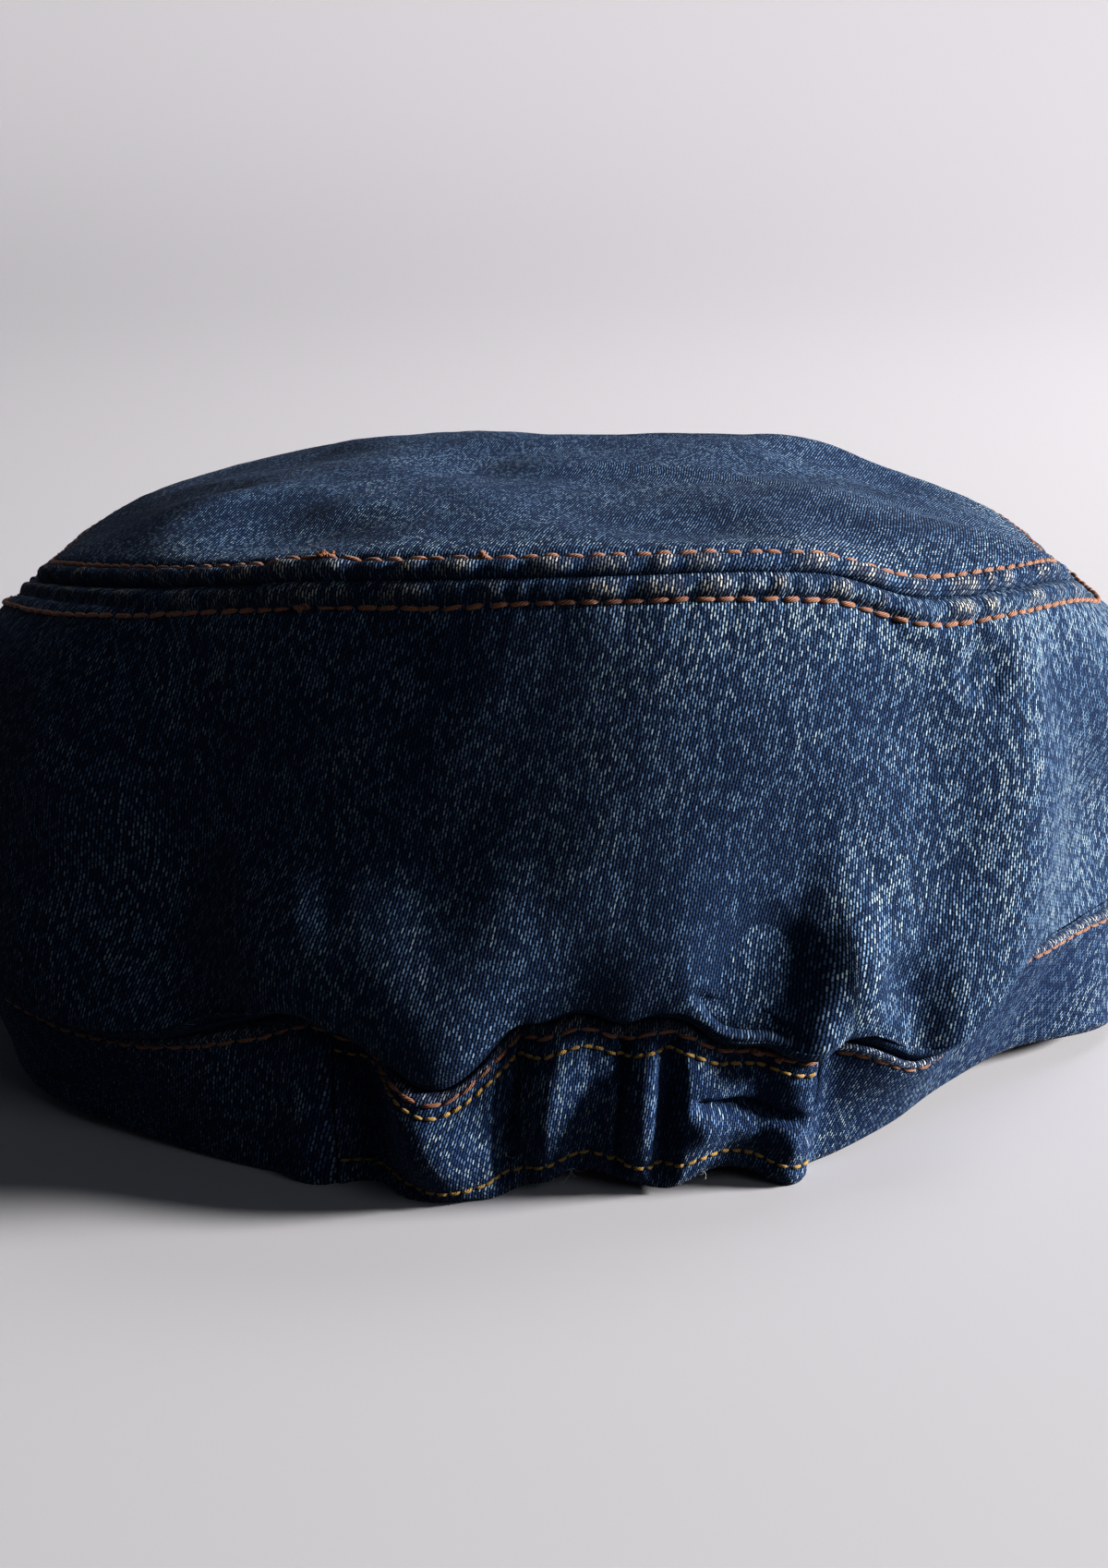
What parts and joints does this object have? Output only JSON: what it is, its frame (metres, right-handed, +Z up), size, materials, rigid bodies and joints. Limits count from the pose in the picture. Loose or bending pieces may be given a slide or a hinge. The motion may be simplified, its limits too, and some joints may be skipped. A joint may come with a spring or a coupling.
{
  "type": "denim work cap",
  "caption": "Soft denim work cap with a flat oval top, a low headband, a gathered elastic back and a stiffened peak at the front",
  "frame": {"origin": "on the table, under the middle of the cap's footprint box", "axes": "+X to the right of the gathered back as seen from behind it, +Y from the back towards the peak, +Z up"},
  "size_m": [0.2164, 0.2558, 0.1015],
  "materials": {
    "denim": "washed blue cotton twill, worn pale along the seams",
    "dark_denim": "darker blue cotton twill"
  },
  "bodies": {
    "root": {"crown_tip": "denim", "crown_side": "denim", "headband": "denim", "elastic_casing": "dark_denim", "peak": "denim"}
  },
  "joints": []
}
